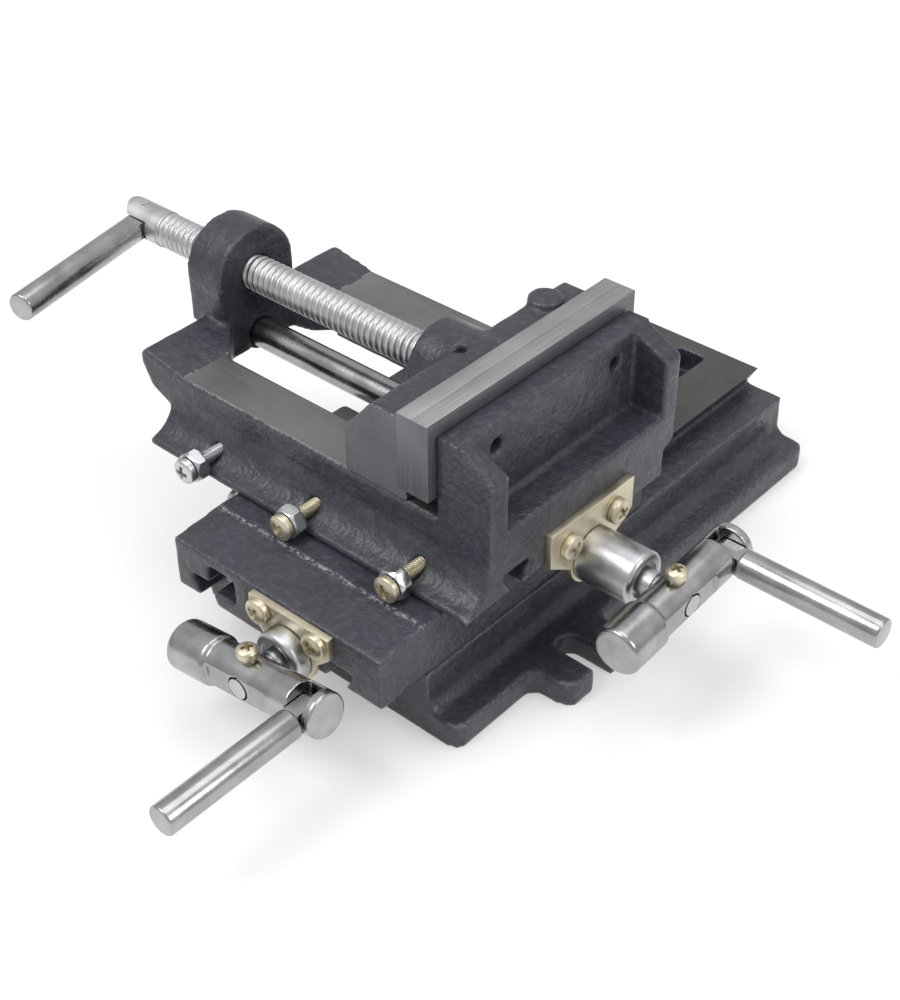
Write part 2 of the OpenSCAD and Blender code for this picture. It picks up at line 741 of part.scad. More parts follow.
// Fixed jaw: a back wall between two sloping ribs over a solid foot
module fixed_jaw() {
    run_y(vise_y - body_w / 2, vise_y + body_w / 2) {
        translate([jaw_x, z_rail - eps]) square([jaw_back_t, z_jaw_top - z_rail + eps]);
        translate([jaw_x, z_rail - eps]) square([fixed_jaw_t, pocket_floor + eps]);
    }
    for (side = [0, 1]) translate([0, vise_y, 0]) mirror([0, side, 0])
        run_y(body_w / 2 - jaw_rib_w, body_w / 2)
            polygon([[jaw_x, z_rail], [end_x, z_rail], [end_x, z_jaw_top - rib_fall],
                [jaw_x + jaw_back_t - rib_back, z_jaw_top], [jaw_x, z_jaw_top]]);
}
module vise_body() {
    color(enamel) difference() {
        union() {
            translate([0, vise_y, 0]) run_x(tail_x, end_x) body_section();
            translate([0, vise_y, 0]) run_x(tail_x, end_x) skirt_section();
            tail_block();
            screw_boss();
            fixed_jaw();
        }
        body_groove();
        body_notch();
        box([slot_x0, vise_y - slot_half, z_saddle], [slot_x1, vise_y + slot_half, z_rail + tail_rise + eps]);
        rod_x(screw_d + 2 * run_fit, boss_x0 - eps, boss_x1 + eps, vise_y, z_vise_screw);
        throat();
        rod_x(rod_d, boss_x1 - rod_seat, slot_x1 + rod_seat, vise_y, z_rod);
        rod_x(lead_d + 2 * pass_fit, wall_x - eps, end_x + eps, vise_y, z_long);
        rod_x(shoulder_d + 2 * pass_fit, end_x - shoulder_l - pass_fit, end_x + eps, vise_y, z_long);
        for (s = [-1, 1]) {
            rod_x(fix_d, end_x - bracket_screw_l, end_x + eps, vise_y + s * bracket_half,
                z_long + bracket_rise);
            rod_x(fix_d, jaw_x - eps, end_x, vise_y + s * jaw_screw_span, z_jaw_screw);
        }
        for (k = [-1, 0, 1])
            rod_y(gib_screw_d, vise_y - body_w, vise_y - saddle_dt_w / 2, gib_x_place(k), z_gib_x);
    }
}

module x_gib() {
    color(ground) run_x(tail_x + gib_end, wall_x - gib_end)
        gib_strip(vise_y - saddle_dt_w / 2, z_saddle, saddle_dt_h);
}

module x_gib_screws() {
    tip = vise_y - saddle_dt_w / 2 - gib_t + (z_saddle_dt - z_gib_x) / flank - gib_tip_back;
    color(zinc) for (k = [-1, 0, 1]) translate([gib_x_place(k), tip, z_gib_x]) rotate([-90, 0, 0])
        gib_screw(tip - gib_face_y + gib_stub);
}

module x_gib_nuts() {
    color(zinc) for (k = [-1, 0, 1])
        translate([gib_x_place(k), gib_face_y - gib_nut_out, z_gib_x]) rotate([90, 0, 0]) gib_nut_shape();
}

module x_bracket_plate() {
    color(yellow_zinc) at_long(end_x) bracket(long_plate_half, long_plate_top);
}

module x_bracket_screws() {
    color(yellow_zinc) for (s = [-1, 1])
        translate([end_x + bracket_t, vise_y + s * bracket_half, z_long + bracket_rise])
            rotate([0, -90, 0]) pan_screw(fix_d, bracket_screw_l);
}

// A jaw plate with its two countersunk screw holes, front face towards -X
module jaw_plate(x0) {
    difference() {
        box([x0, vise_y - jaw_w / 2, z_plate], [x0 + plate_t, vise_y + jaw_w / 2, z_plate_top]);
        for (s = [-1, 1])
            rod_x(fix_d, x0 - eps, x0 + plate_t + eps, vise_y + s * jaw_screw_span, z_jaw_screw);
    }
}

module fixed_jaw_plate() { color(ground) jaw_plate(jaw_x - plate_t); }

module fixed_jaw_screws() {
    color(zinc) for (s = [-1, 1]) rod_x(fix_d, jaw_x - plate_t + screw_sunk, jaw_x + jaw_back_t - screw_short,
        vise_y + s * jaw_screw_span, z_jaw_screw);
}

module guide_rod() {
    color(zinc) rod_x(rod_d, boss_x1 - rod_seat, slot_x1 + rod_seat, vise_y, z_rod);
}

// Movable jaw: a block on the rails, a boss round the screw and a tongue down between the rails
module slider_side() {
    polygon([[slider_x0, z_rail], [slider_x0, z_rail + slider_back_h],
        [slider_x0 + slider_slope, z_jaw_top - slider_ease],
        [slider_x0 + slider_slope + slider_ease, z_jaw_top], [slider_x1, z_jaw_top], [slider_x1, z_rail]]);
}
module movable_jaw() {
    tongue = slot_half - roof_gap;
    boss_front = slider_x0 - slider_boss_out;
    color(enamel) difference() {
        union() {
            run_y(vise_y - body_w / 2, vise_y + body_w / 2) slider_side();
            rod_x(slider_boss_d, boss_front, slider_x1, vise_y, z_vise_screw);
            rod_z(lock_boss_d, z_rail + lock_boss_up, z_jaw_top + lock_boss_up, slider_x1 - lock_boss_in,
                vise_y + lock_boss_side);
            box([slider_x0, vise_y - tongue, z_saddle_dt + tongue_gap],
                [slider_x1, vise_y + tongue, z_rail + eps]);
        }
        rod_x(screw_d + 2 * run_fit, boss_front - eps, screw_tip + pass_fit, vise_y, z_vise_screw);
        rod_x(rod_d + 2 * run_fit, slider_x0 - eps, slider_x1 + eps, vise_y, z_rod);
        rod_z(pin_d, z_vise_screw - retain_down, z_plate_top, pin_x, retain_y);
        for (s = [-1, 1]) rod_x(fix_d, slider_x1 - jaw_screw_l, slider_x1 + eps,
            vise_y + s * jaw_screw_span, z_jaw_screw);
    }
}

module movable_jaw_plate() { color(ground) jaw_plate(slider_x1); }

module movable_jaw_screws() {
    color(zinc) for (s = [-1, 1])
        rod_x(fix_d, slider_x1 - jaw_screw_l, slider_x1 + plate_t - screw_sunk,
            vise_y + s * jaw_screw_span, z_jaw_screw);
}

module screw_retaining_pin() {
    color(zinc) rod_z(pin_d, z_vise_screw - retain_down, z_vise_screw + retain_up, pin_x, retain_y);
}

// Vise screw with its retaining groove and the forked head for the handle
module fork_head() {
    rod_x(fork_d, fork_x, fork_x + fork_l, vise_y, z_vise_screw);
    intersection() {
        rod_x(fork_d, fork_x - fork_d, fork_x + eps, vise_y, z_vise_screw);
        rod_z(fork_d, z_vise_screw - fork_d, z_vise_screw + fork_d, fork_x, vise_y);
    }
}
module vise_screw() {
    color(zinc) difference() {
        union() {
            rod_x(screw_d, fork_x + fork_l - eps, pin_x - groove_w / 2, vise_y, z_vise_screw);
            rod_x(groove_d, pin_x - groove_w / 2 - eps, pin_x + groove_w / 2 + eps, vise_y, z_vise_screw);
            rod_x(screw_d, pin_x + groove_w / 2, screw_tip, vise_y, z_vise_screw);
            fork_head();
        }
        box([fork_x - fork_d, vise_y - fork_d, z_vise_screw - fork_slot / 2],
            [fork_x + vise_tongue_w / 2 + fork_deep, vise_y + fork_d, z_vise_screw + fork_slot / 2]);
        rod_z(pin_d, z_vise_screw - fork_d, z_vise_screw + fork_d, fork_x, vise_y);
    }
}

module handle_pin() {
    color(zinc)
        rod_z(pin_d, z_vise_screw - fork_d / 2, z_vise_screw + fork_d / 2 + pin_proud, fork_x, vise_y);
}

module vise_handle() {
    reach = fork_d / 2 + handle_clear;
    half = vise_tongue_w / 2;
    color(zinc) translate([fork_x, vise_y, z_vise_screw]) rotate(vise_handle_turn) difference() {
        union() {
            translate([0, -reach, 0]) rotate([90, 0, 0]) bar(handle_d, vise_handle_l - reach);
            translate([0, 0, -tongue_t / 2]) cylinder(d = vise_tongue_w, h = tongue_t);
            box([-half, -reach - bar_chamfer, -tongue_t / 2], [half, 0, tongue_t / 2]);
        }
        translate([0, 0, -fork_d]) cylinder(d = pin_d + 2 * run_fit, h = 2 * fork_d);
    }
}

base();
y_nut();
y_nut_screw();
saddle();
y_gib();
y_gib_screws();
y_gib_nuts();
x_nut();
y_bracket_plate();
y_bracket_screws();
y_lead_screw();
y_collar();
y_crank_arm();
y_crank_set_screw();
y_handle_pin();
y_handle();
vise_body();
x_gib();
x_gib_screws();
x_gib_nuts();
x_bracket_plate();
x_bracket_screws();
fixed_jaw_plate();
fixed_jaw_screws();
guide_rod();
x_lead_screw();
x_collar();
x_crank_arm();
x_crank_set_screw();
x_handle_pin();
x_handle();
movable_jaw();
movable_jaw_plate();
movable_jaw_screws();
screw_retaining_pin();
vise_screw();
handle_pin();
vise_handle();
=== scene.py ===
"""Looks of a cross slide vise.

Sand-cast iron in dark enamel, ground guide faces, plated screws and bright folding cranks.
"""
import contextlib
import math

import bmesh
import bpy
import numpy as np
from mathutils import Matrix, Vector, noise

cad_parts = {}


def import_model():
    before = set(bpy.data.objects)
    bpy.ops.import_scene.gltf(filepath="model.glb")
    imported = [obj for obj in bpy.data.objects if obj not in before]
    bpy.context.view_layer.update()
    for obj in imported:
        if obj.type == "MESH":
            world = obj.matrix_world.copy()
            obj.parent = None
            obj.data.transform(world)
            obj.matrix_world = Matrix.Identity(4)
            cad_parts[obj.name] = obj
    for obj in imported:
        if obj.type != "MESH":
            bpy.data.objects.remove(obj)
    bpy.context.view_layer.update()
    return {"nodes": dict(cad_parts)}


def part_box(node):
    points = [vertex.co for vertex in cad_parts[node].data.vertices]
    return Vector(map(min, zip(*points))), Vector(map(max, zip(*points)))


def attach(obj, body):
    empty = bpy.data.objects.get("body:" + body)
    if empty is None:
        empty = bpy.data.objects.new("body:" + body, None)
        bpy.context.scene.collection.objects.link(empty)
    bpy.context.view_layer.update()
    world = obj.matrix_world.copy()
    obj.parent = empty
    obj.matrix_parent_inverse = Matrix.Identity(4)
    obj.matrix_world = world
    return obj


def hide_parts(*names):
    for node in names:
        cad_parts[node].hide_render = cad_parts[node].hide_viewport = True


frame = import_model()
NODES = frame["nodes"]
MM = 0.001
FAR = 1.0


def middle(node):
    low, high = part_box(node)
    return (low + high) / 2


# Sizes of the part that a node's box doesn't give
ROD_BELOW_RAILS = 2.5 * MM
END_BLOCK_L = 27.6 * MM
SADDLE_DOVETAIL = 8 * MM
LEDGE_L = 19 * MM
SCREW_D = 13 * MM
SCREW_PITCH = 2.7 * MM
SCREW_DEPTH = 0.8 * MM
SCREW_IN_JAW = 6 * MM
FORK_L = 12 * MM
STEM_D = 7 * MM
GIB_D = 5 * MM
GIB_PITCH = 1.0 * MM
GIB_DEPTH = 0.5 * MM
HEAD_D = 9 * MM
HEAD_H = 3.2 * MM
SET_HEAD_D = 0.78 * HEAD_D
SHANK_D = 5 * MM
NUT_AF = 10 * MM
NUT_H = 5 * MM
NUT_BORE = 0.98 * GIB_D

# Places that the finishes and new pieces share, in metres
RAIL_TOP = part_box("guide_rod")[1].z + ROD_BELOW_RAILS
VISE_Y = middle("guide_rod").y
SCREW_Z = middle("vise_handle").z
SADDLE_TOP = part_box("saddle")[1].z
BASE_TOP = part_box("base")[1].z

# Camera found from the photograph's own lines
CAMERA_PLACE = Vector((302.02, -379.48, 390.64)) * MM
CAMERA_AZIMUTH = math.radians(41.424)
CAMERA_ELEVATION = math.radians(38.033)
CAMERA_ROLL = math.radians(-0.295)
CAMERA_LENS = 68.79
CAMERA_NEAR = 0.01
SENSOR = 36.0


# Materials

class Graph:
    """A material's node tree with short ways to add and join nodes."""

    def __init__(self, name):
        self.material = bpy.data.materials.new(name)
        self.material.use_nodes = True
        self.nodes = self.material.node_tree.nodes
        self.shader = self.nodes["Principled BSDF"]
        self.place = self.add("ShaderNodeTexCoord").outputs["Object"]

    def add(self, kind, **values):
        node = self.nodes.new(kind)
        for key, value in values.items():
            setattr(node, key, value)
        return node

    def join(self, output, target):
        self.material.node_tree.links.new(output, target)

    def noise(self, scale, detail, stretch=(1, 1, 1)):
        mapping = self.add("ShaderNodeMapping")
        mapping.inputs["Scale"].default_value = stretch
        self.join(self.place, mapping.inputs["Vector"])
        node = self.add("ShaderNodeTexNoise")
        node.inputs["Scale"].default_value = scale
        node.inputs["Detail"].default_value = detail
        self.join(mapping.outputs["Vector"], node.inputs["Vector"])
        return node.outputs["Fac"]

    def ramp(self, value, low, high, start=0.3, end=0.7):
        node = self.add("ShaderNodeMapRange")
        ends = {"From Min": start, "From Max": end, "To Min": low, "To Max": high}
        for key, number in ends.items():
            node.inputs[key].default_value = number
        self.join(value, node.inputs["Value"])
        return node.outputs["Result"]

    def mix(self, factor, a, b):
        node = self.add("ShaderNodeMix", data_type="RGBA")
        self.join(factor, node.inputs["Factor"])
        for socket, value in ((node.inputs[6], a), (node.inputs[7], b)):
            if isinstance(value, bpy.types.NodeSocket):
                self.join(value, socket)
            else:
                socket.default_value = (*value, 1)
        return node.outputs[2]

    def math(self, operation, a, b):
        node = self.add("ShaderNodeMath", operation=operation)
        for socket, value in zip(node.inputs, (a, b)):
            if isinstance(value, bpy.types.NodeSocket):
                self.join(value, socket)
            else:
                socket.default_value = value
        return node.outputs["Value"]

    def bump(self, height, distance, strength, under=None):
        node = self.add("ShaderNodeBump")
        node.inputs["Strength"].default_value = strength
        node.inputs["Distance"].default_value = distance
        self.join(height, node.inputs["Height"])
        if under:
            self.join(under, node.inputs["Normal"])
        return node.outputs["Normal"]

    def finish(self, color, roughness, normal, metallic):
        self.join(color, self.shader.inputs["Base Color"])
        self.join(roughness, self.shader.inputs["Roughness"])
        self.join(normal, self.shader.inputs["Normal"])
        self.shader.inputs["Metallic"].default_value = metallic
        return self.material


ENAMEL_DARK, ENAMEL_LIGHT = (0.0245, 0.0255, 0.035), (0.039, 0.041, 0.054)
ENAMEL_DUST, DUST_SHARE = (0.075, 0.077, 0.091), 0.5
BARE_EDGE = (0.34, 0.35, 0.37)
GRAIN_STRETCH, GRAIN_LIGHT = 0.02, 1.35
SCRATCH_STRETCH = (1, 0.15, 1)


def enamel():
    """Dark blue-grey enamel over sand-cast grain, rubbed bright on ridges."""
    g = Graph("enamel")
    patches = g.ramp(g.noise(scale=38, detail=4), 0, 1)
    dust = g.ramp(g.noise(scale=420, detail=2), 0, 1, start=0.45, end=0.75)
    color = g.mix(patches, ENAMEL_DARK, ENAMEL_LIGHT)
    color = g.mix(g.math("MULTIPLY", dust, DUST_SHARE), color, ENAMEL_DUST)
    wear = g.add("ShaderNodeAttribute", attribute_name="wear").outputs["Fac"]
    spots = g.ramp(g.noise(scale=900, detail=3), 0, 1, start=0.42, end=0.62)
    color = g.mix(g.math("MULTIPLY", wear, spots), color, BARE_EDGE)
    roughness = g.ramp(g.noise(scale=160, detail=2), 0.3, 0.46)
    grain = g.bump(g.noise(scale=750, detail=1), distance=0.0008, strength=0.3)
    normal = g.bump(g.noise(scale=320, detail=1), distance=0.0014, strength=0.17, under=grain)
    return g.finish(color, roughness, normal, metallic=0.0)


def ground(name, dark, light, along, metallic=0.75):
    """A ground face: fine parallel grain along one axis, with faint clouds and stains."""
    g = Graph(name)
    stretch = [1.0, 1.0, 1.0]
    stretch["XYZ".index(along)] = GRAIN_STRETCH
    lines = g.noise(scale=2600, detail=2, stretch=stretch)
    clouds = g.noise(scale=45, detail=4)
    color = g.mix(g.ramp(clouds, 0, 1), dark, light)
    shine = g.ramp(lines, 0, 0.35, start=0.4, end=0.8)
    color = g.mix(shine, color, [GRAIN_LIGHT * c for c in light])
    roughness = g.ramp(lines, 0.34, 0.5)
    normal = g.bump(lines, distance=0.00012, strength=0.35)
    return g.finish(color, roughness, normal, metallic)


def plated(name, dark, light, rough):
    """Plated or turned metal: cloudy plating, hairline scratches and small pits."""
    g = Graph(name)
    clouds = g.noise(scale=110, detail=2)
    pits = g.noise(scale=1100, detail=1)
    color = g.mix(g.ramp(clouds, 0, 1), dark, light)
    roughness = g.math("ADD", g.ramp(clouds, *rough), g.ramp(pits, 0, 0.04))
    hairs = g.noise(scale=900, detail=1, stretch=SCRATCH_STRETCH)
    scratches = g.bump(hairs, distance=0.0001, strength=0.12)
    normal = g.bump(pits, distance=0.0001, strength=0.1, under=scratches)
    return g.finish(color, roughness, normal, metallic=1.0)


MATERIALS = {
    "enamel": enamel(),
    "rail": ground("rail_iron", (0.16, 0.156, 0.157), (0.215, 0.21, 0.212), "X"),
    # Darker end finish for ground ends, also used as painted shade on the jaw plates' backs
    "end": ground("end_iron_and_painted_shade", (0.108, 0.103, 0.117), (0.16, 0.153, 0.172), "Z", 0.5),
    "oiled": ground("oiled_iron", (0.06, 0.058, 0.056), (0.1, 0.097, 0.093), "Y", 0.6),
    "jaw": ground("jaw_steel", (0.3, 0.288, 0.292), (0.4, 0.387, 0.391), "Y", 0.85),
    "bright": plated("bright_steel", (0.31, 0.31, 0.32), (0.44, 0.44, 0.452), (0.17, 0.27)),
    "satin": plated("satin_zinc", (0.45, 0.455, 0.47), (0.6, 0.605, 0.62), (0.28, 0.4)),
    "zinc": plated("clear_zinc", (0.46, 0.465, 0.48), (0.64, 0.645, 0.66), (0.24, 0.38)),
    "yellow": plated("yellow_zinc", (0.56, 0.5, 0.36), (0.7, 0.64, 0.5), (0.32, 0.46)),
    "thread": plated("thread_steel", (0.46, 0.46, 0.47), (0.62, 0.62, 0.63), (0.34, 0.46)),
    "bronze": plated("bronze", (0.4, 0.27, 0.12), (0.55, 0.4, 0.2), (0.25, 0.4)),
    # Near-black painted shade that makes the jaw screws and the retaining pin read as dark holes
    "hole": ground("painted_hole_shade", (0.01, 0.01, 0.011), (0.02, 0.02, 0.022), "X", 0.2),
}


# Mesh helpers

WELD = 1e-6
FLAT_ANGLE = math.radians(2)
SHARP_ANGLE = math.radians(35)


@contextlib.contextmanager
def edited(mesh):
    """Opens a mesh for editing and writes it back."""
    bm = bmesh.new()
    bm.from_mesh(mesh)
    yield bm
    bm.to_mesh(mesh)
    bm.free()


def set_finishes(mesh, *finishes):
    mesh.materials.clear()
    for finish in finishes:
        mesh.materials.append(MATERIALS[finish])


def new_object(name, mesh, *finishes):
    set_finishes(mesh, *finishes)
    obj = bpy.data.objects.new(name, mesh)
    bpy.context.scene.collection.objects.link(obj)
    return obj


def applied(obj):
    """Turns the object's modifiers into its mesh."""
    graph = bpy.context.evaluated_depsgraph_get()
    mesh = bpy.data.meshes.new_from_object(obj.evaluated_get(graph))
    old = obj.data
    obj.modifiers.clear()
    obj.data = mesh
    bpy.data.meshes.remove(old)


def welded_copy(node):
    """A copy of a node's mesh with its split corners joined."""
    mesh = NODES[node].data.copy()
    if "custom_normal" in mesh.attributes:
        mesh.attributes.remove(mesh.attributes["custom_normal"])
    with edited(mesh) as bm:
        bmesh.ops.remove_doubles(bm, verts=bm.verts, dist=WELD)
    return mesh


def vertex_rows(mesh, key):
    """A vector property of all vertices, one row each."""
    rows = np.empty(len(mesh.vertices) * 3, np.float32)
    mesh.vertices.foreach_get(key, rows)
    return rows.reshape(-1, 3).astype(float)


def neighbour_mean(mesh, values):
    """Mean of each vertex's neighbours."""
    pairs = np.empty(len(mesh.edges) * 2, np.int64)
    mesh.edges.foreach_get("vertices", pairs)
    a, b = pairs.reshape(-1, 2).T
    total = np.zeros_like(values)
    count = np.zeros(len(values))
    for p, q in ((a, b), (b, a)):
        np.add.at(total, p, values[q])
        np.add.at(count, p, 1)
    count = np.maximum(count, 1)
    return total / (count[:, None] if values.ndim > 1 else count)


def soft_skin(piece, voxel, rounds, *finishes):
    """Remeshes a piece and rounds every edge of it a little."""
    skin = piece.modifiers.new("skin", "REMESH")
    skin.mode = "VOXEL"
    skin.voxel_size = voxel
    smooth = piece.modifiers.new("soften", "SMOOTH")
    smooth.factor = 0.5
    smooth.iterations = rounds
    applied(piece)
    set_finishes(piece.data, *finishes)
    piece.data.polygons.foreach_set("use_smooth", np.ones(len(piece.data.polygons), bool))


def shade(piece):
    """Smooth shading that keeps hard corners."""
    with edited(piece.data) as bm:
        for face in bm.faces:
            face.smooth = True
        for edge in bm.edges:
            edge.smooth = len(edge.link_faces) != 2 or edge.calc_face_angle() < SHARP_ANGLE


def stand(piece, body, node):
    """Puts a piece on a body in place of a node."""
    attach(piece, body)
    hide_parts(node)


# Castings: softened edges, lumpy skin, ground faces left flat

VOXEL = 0.8 * MM
BASE_VOXEL = 1.25 * VOXEL
LUMP, LUMP_RATE = 0.16 * MM, 170
FINE, FINE_RATE, FINE_SHIFT = 0.04 * MM, 520, Vector((7, 3, 5))
RUB = 0.7 * MM
WEAR_START, WEAR_RANGE = 0.09, 0.12
FLAT_REACH, FLAT_ROOM, PAINT_REACH = 0.45 * MM, 0.1 * MM, 0.12 * MM


def ground_face(axis, place, finish, x0=-FAR, x1=FAR):
    """A face that is ground flat: (axis number, place, low corner, high corner, finish)."""
    k = "XYZ".index(axis)
    low, high = [x0, -FAR, -FAR], [x1, FAR, FAR]
    low[k], high[k] = place - MM, place + MM
    return k, place, np.array(low), np.array(high), finish


def casting(node, body, faces, soften=9, rubbed=(), voxel=VOXEL):
    """Stands for a cast node. Each rubbed edge is a (y, z) line along X that use has worn bright."""
    piece = new_object(node + "_casting", welded_copy(node))
    soft_skin(piece, voxel, soften, "enamel", *[face[-1] for face in faces])
    mesh = piece.data
    co, no = vertex_rows(mesh, "co"), vertex_rows(mesh, "normal")
    flat = np.zeros(len(co), bool)
    for k, place, low, high, _ in faces:
        inside = np.all((co > low - FLAT_ROOM) & (co < high + FLAT_ROOM), axis=1)
        near = inside & (np.abs(co[:, k] - place) < FLAT_REACH)
        co[near, k] = place
        flat |= near
    lumps = np.array([noise.noise(Vector(p) * LUMP_RATE) for p in co])
    fine = np.array([noise.noise(Vector(p) * FINE_RATE + FINE_SHIFT) for p in co])
    push = np.where(flat, 0.0, LUMP * lumps + FINE * fine)
    edge = np.einsum("ij,ij->i", co - neighbour_mean(mesh, co), no) / voxel
    pushed = co + no * push[:, None]
    mesh.vertices.foreach_set("co", pushed.astype(np.float32).ravel())
    mesh.update()
    wear = np.clip((edge - WEAR_START) / WEAR_RANGE, 0, 1)
    wear = 0.5 * wear + 0.5 * neighbour_mean(mesh, wear)
    for y, z in rubbed:
        away = np.hypot(co[:, 1] - y, co[:, 2] - z) / RUB
        wear = np.maximum(wear, np.exp(-away ** 2))
    worn = mesh.attributes.new("wear", "FLOAT", "POINT")
    worn.data.foreach_set("value", wear.astype(np.float32))
    paint_faces(mesh, faces)
    stand(piece, body, node)


def paint_faces(mesh, faces):
    """Gives the polygons that lie in each ground face its finish."""
    count = len(mesh.polygons)
    centre = np.empty(count * 3, np.float32)
    mesh.polygons.foreach_get("center", centre)
    centre = centre.reshape(-1, 3)
    index = np.zeros(count, np.int32)
    for i, (k, place, low, high, _) in enumerate(faces, 1):
        inside = np.all((centre > low) & (centre < high), axis=1)
        index[inside & (np.abs(centre[:, k] - place) < PAINT_REACH)] = i
    mesh.polygons.foreach_set("material_index", index)


def castings():
    rail_x0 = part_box("vise_body")[0].x + END_BLOCK_L
    rail_x1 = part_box("fixed_jaw_plate")[1].x
    casting("vise_body", "vise", [ground_face("Z", RAIL_TOP, "rail", rail_x0, rail_x1)])
    ends = [ground_face("Y", corner.y, "end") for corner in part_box("movable_jaw")]
    casting("movable_jaw", "sliding_jaw", ends, soften=7)
    ridge = (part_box("saddle")[0].y + LEDGE_L, SADDLE_TOP - SADDLE_DOVETAIL)
    casting("saddle", "saddle", [ground_face("Z", SADDLE_TOP, "rail")], rubbed=[ridge])
    guides = [ground_face("Z", z, "oiled") for z in (BASE_TOP, 0)]
    casting("base", "base", guides, soften=6, voxel=BASE_VOXEL)


# Stamped pieces: the node's own form with eased edges

def eased(node, body, finish, width):
    mesh = welded_copy(node)
    with edited(mesh) as bm:
        bmesh.ops.dissolve_limit(bm, angle_limit=FLAT_ANGLE, verts=bm.verts, edges=bm.edges)
    piece = new_object(node + "_piece", mesh, finish)
    bevel = piece.modifiers.new("ease", "BEVEL")
    bevel.width = width
    bevel.segments = 3
    bevel.limit_method = "ANGLE"
    bevel.angle_limit = math.radians(30)
    applied(piece)
    shade(piece)
    stand(piece, body, node)
    return piece


# Turned forms, prisms and cuts

def turns(count):
    return [2 * math.pi * k / count for k in range(count)]


def ring_faces(rings, count):
    """Quads between neighbouring rings of count points each."""
    quads = []
    for i in range(rings - 1):
        for k in range(count):
            a, b = i * count + k, i * count + (k + 1) % count
            quads.append((a, b, b + count, a + count))
    return quads


def lathe(profile, count=48):
    """A closed turned form from (radius, height) pairs that start and end on the axis."""
    verts = [(r * math.cos(t), r * math.sin(t), z) for r, z in profile for t in turns(count)]
    mesh = bpy.data.meshes.new("lathe")
    mesh.from_pydata(verts, [], ring_faces(len(profile), count))
    with edited(mesh) as bm:
        bmesh.ops.remove_doubles(bm, verts=bm.verts, dist=0.1 * WELD)
        bmesh.ops.recalc_face_normals(bm, faces=bm.faces)
    return mesh


def tube(verts, count):
    """A closed form from rings of count points each, with flat ends."""
    total = len(verts)
    faces = ring_faces(total // count, count)
    faces.append(tuple(range(count - 1, -1, -1)))
    faces.append(tuple(range(total - count, total)))
    mesh = bpy.data.meshes.new("tube")
    mesh.from_pydata(verts, [], faces)
    return mesh


def thread(length, diameter, pitch, depth, steps=16, count=64):
    """A rolled thread along +Z with rounded crests and roots, run out at both ends."""
    rings = int(length / pitch * steps)
    verts = []
    for i in range(rings + 1):
        z = length * i / rings
        fade = min(1, z / pitch, (length - z) / pitch)
        for t in turns(count):
            wave = 0.5 - 0.5 * math.cos(2 * math.pi * z / pitch - t)
            r = diameter / 2 - depth * wave ** 2 * fade
            verts.append((r * math.cos(t), r * math.sin(t), z))
    return tube(verts, count)


def prism(outline, *levels):
    """A closed prism along Z. Each level is (height, scale of the outline)."""
    return tube([(x * k, y * k, z) for z, k in levels for x, y in outline], len(outline))


def block(low, high):
    (x0, y0, z0), (x1, y1, z1) = low, high
    return prism([(x0, y0), (x1, y0), (x1, y1), (x0, y1)], (z0, 1), (z1, 1))


def rod(radius, z0, z1, count):
    """A plain round bar along Z with sharp ends."""
    return lathe([(0, z0), (radius, z0), (radius, z1), (0, z1)], count)


def rounded(r, z, ease, way):
    """Profile points of an eased rim at (r, z): way is +1 for a top rim and -1 for a bottom rim."""
    points = []
    for a in range(0, 91, 15):
        t = math.radians(a)
        points.append((r - ease + ease * math.cos(t), z - way * ease + way * ease * math.sin(t)))
    return points if way > 0 else points[::-1]


def bar_mesh(diameter, length, ease):
    """A round bar along +Z with eased rims."""
    r = diameter / 2
    rims = rounded(r, 0, ease, -1) + rounded(r, length, ease, 1)
    return lathe([(0, 0)] + rims + [(0, length)], 64)


def carved(mesh, tool, operation="DIFFERENCE"):
    """The mesh after one exact boolean with a tool mesh."""
    a = bpy.data.objects.new("carved", mesh)
    b = bpy.data.objects.new("tool", tool)
    for obj in (a, b):
        bpy.context.scene.collection.objects.link(obj)
    cut = a.modifiers.new("cut", "BOOLEAN")
    cut.operation = operation
    cut.object = b
    cut.solver = "EXACT"
    graph = bpy.context.evaluated_depsgraph_get()
    result = bpy.data.meshes.new_from_object(a.evaluated_get(graph))
    for obj in (a, b):
        bpy.data.objects.remove(obj)
    return result


def merged(name, parts, finish):
    """One object of several (mesh, matrix) parts."""
    bm = bmesh.new()
    for mesh, matrix in parts:
        part = mesh.copy()
        part.transform(matrix)
        bm.from_mesh(part)
        bpy.data.meshes.remove(part)
    mesh = bpy.data.meshes.new(name)
    bm.to_mesh(mesh)
    bm.free()
    piece = new_object(name, mesh, finish)
    mesh.polygons.foreach_set("material_index", np.zeros(len(mesh.polygons), np.int32))
    shade(piece)
    return piece


def facing(direction, place, spin=0.0):
    """A matrix that puts +Z along a direction at a place."""
    turn = Vector((0, 0, 1)).rotation_difference(Vector(direction)).to_matrix().to_4x4()
    return Matrix.Translation(place) @ turn @ Matrix.Rotation(spin, 4, "Z")


def islands(node):
    """Low and high corners of each separate solid in a node, in order along X, then Y."""
    bm = bmesh.new()
    bm.from_mesh(NODES[node].data)
    bmesh.ops.remove_doubles(bm, verts=bm.verts, dist=WELD)
    left, boxes = set(bm.verts), []
    while left:
        front, group = [left.pop()], []
        while front:
            vert = front.pop()
            group.append(vert.co.copy())
            for edge in vert.link_edges:
                other = edge.other_vert(vert)
                if other in left:
                    left.remove(other)
                    front.append(other)
        co = np.array(group)
        boxes.append((Vector(co.min(0)), Vector(co.max(0))))
    bm.free()
    return sorted(boxes, key=lambda box: (box[0].x, box[0].y))


# Screws and nuts

